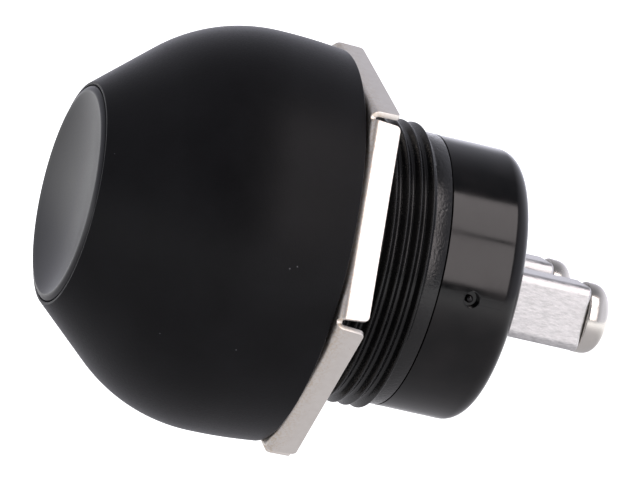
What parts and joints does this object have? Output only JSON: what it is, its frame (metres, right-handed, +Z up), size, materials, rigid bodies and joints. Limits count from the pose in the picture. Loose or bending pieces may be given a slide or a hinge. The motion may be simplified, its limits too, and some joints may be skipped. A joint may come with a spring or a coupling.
{
  "type": "panel push button switch",
  "caption": "Domed momentary push button for a round panel hole, with a dished finger button, hexagon panel nut and screw terminals.",
  "frame": {"origin": "on the switch's axis, in the plane of the dome's rear rim, which seats on the front of the panel", "axes": "+Y along the axis from the finger button to the terminals, +Z up, +X through the terminal on the right seen from the front"},
  "size_m": [0.0314, 0.0416, 0.0308],
  "materials": {
    "dome_black": "satin matt black moulding",
    "button_black": "satin black moulding",
    "stem_nylon": "natural nylon",
    "bush_black": "black moulding, spark-eroded band behind the thread",
    "gasket_rubber": "matt black",
    "seal_rubber": "matt black",
    "washer_steel": "plain",
    "return_spring_steel": "drawn spring wire",
    "nut_nickel": "pressed sheet steel, nickel plated",
    "cap_gloss_black": "polished black moulding",
    "retainer_board": "phenolic board",
    "post_plated": "drawn brass bar, tin plated",
    "screw_nickel": "nickel plated",
    "contact_silver": "silver faced",
    "bridge_copper": "plain strip",
    "clip_steel": "spring steel",
    "contact_spring_steel": "drawn spring wire"
  },
  "bodies": {
    "housing": {"dome_head": "dome_black", "threaded_bush": "bush_black", "panel_gasket": "gasket_rubber", "stem_seal": "seal_rubber", "spring_seat": "washer_steel", "return_spring": "return_spring_steel", "rear_cap": "cap_gloss_black", "post_retainer": "retainer_board", "terminal_post_left": "post_plated", "terminal_post_right": "post_plated", "fixed_contact_left": "contact_silver", "fixed_contact_right": "contact_silver"},
    "plunger": {"finger_button": "button_black", "plunger_stem": "stem_nylon", "bridge_clip": "clip_steel", "contact_spring": "contact_spring_steel"},
    "bridge": {"contact_bridge": "bridge_copper", "moving_contact_left": "contact_silver", "moving_contact_right": "contact_silver"},
    "nut": {"panel_nut": "nut_nickel"},
    "screw_left": {"terminal_screw_left": "screw_nickel"},
    "screw_right": {"terminal_screw_right": "screw_nickel"}
  },
  "joints": [
    {"name": "button_press", "type": "slide", "parent": "housing", "child": "plunger", "axis": [0, 1, 0], "range_m": [0, 0.0025], "stiffness_N_per_m": 340, "springref_m": -0.0075, "deforming": ["return_spring"]},
    {"name": "bridge_lag", "type": "slide", "parent": "plunger", "child": "bridge", "axis": [0, 1, 0], "range_m": [-0.0011, 0], "deforming": ["contact_spring"]},
    {"name": "panel_nut_travel", "type": "slide", "parent": "housing", "child": "nut", "axis": [0, 1, 0], "range_m": [0, 0.0045]},
    {"name": "screw_left_out", "type": "slide", "parent": "housing", "child": "screw_left", "axis": [0, 1, 0], "range_m": [0, 0.0025]},
    {"name": "screw_right_out", "type": "slide", "parent": "housing", "child": "screw_right", "axis": [0, 1, 0], "range_m": [0, 0.0025]}
  ],
  "couplings": [
    {"joint": "bridge_lag", "follows": "button_press", "ratio": -0.42}
  ]
}
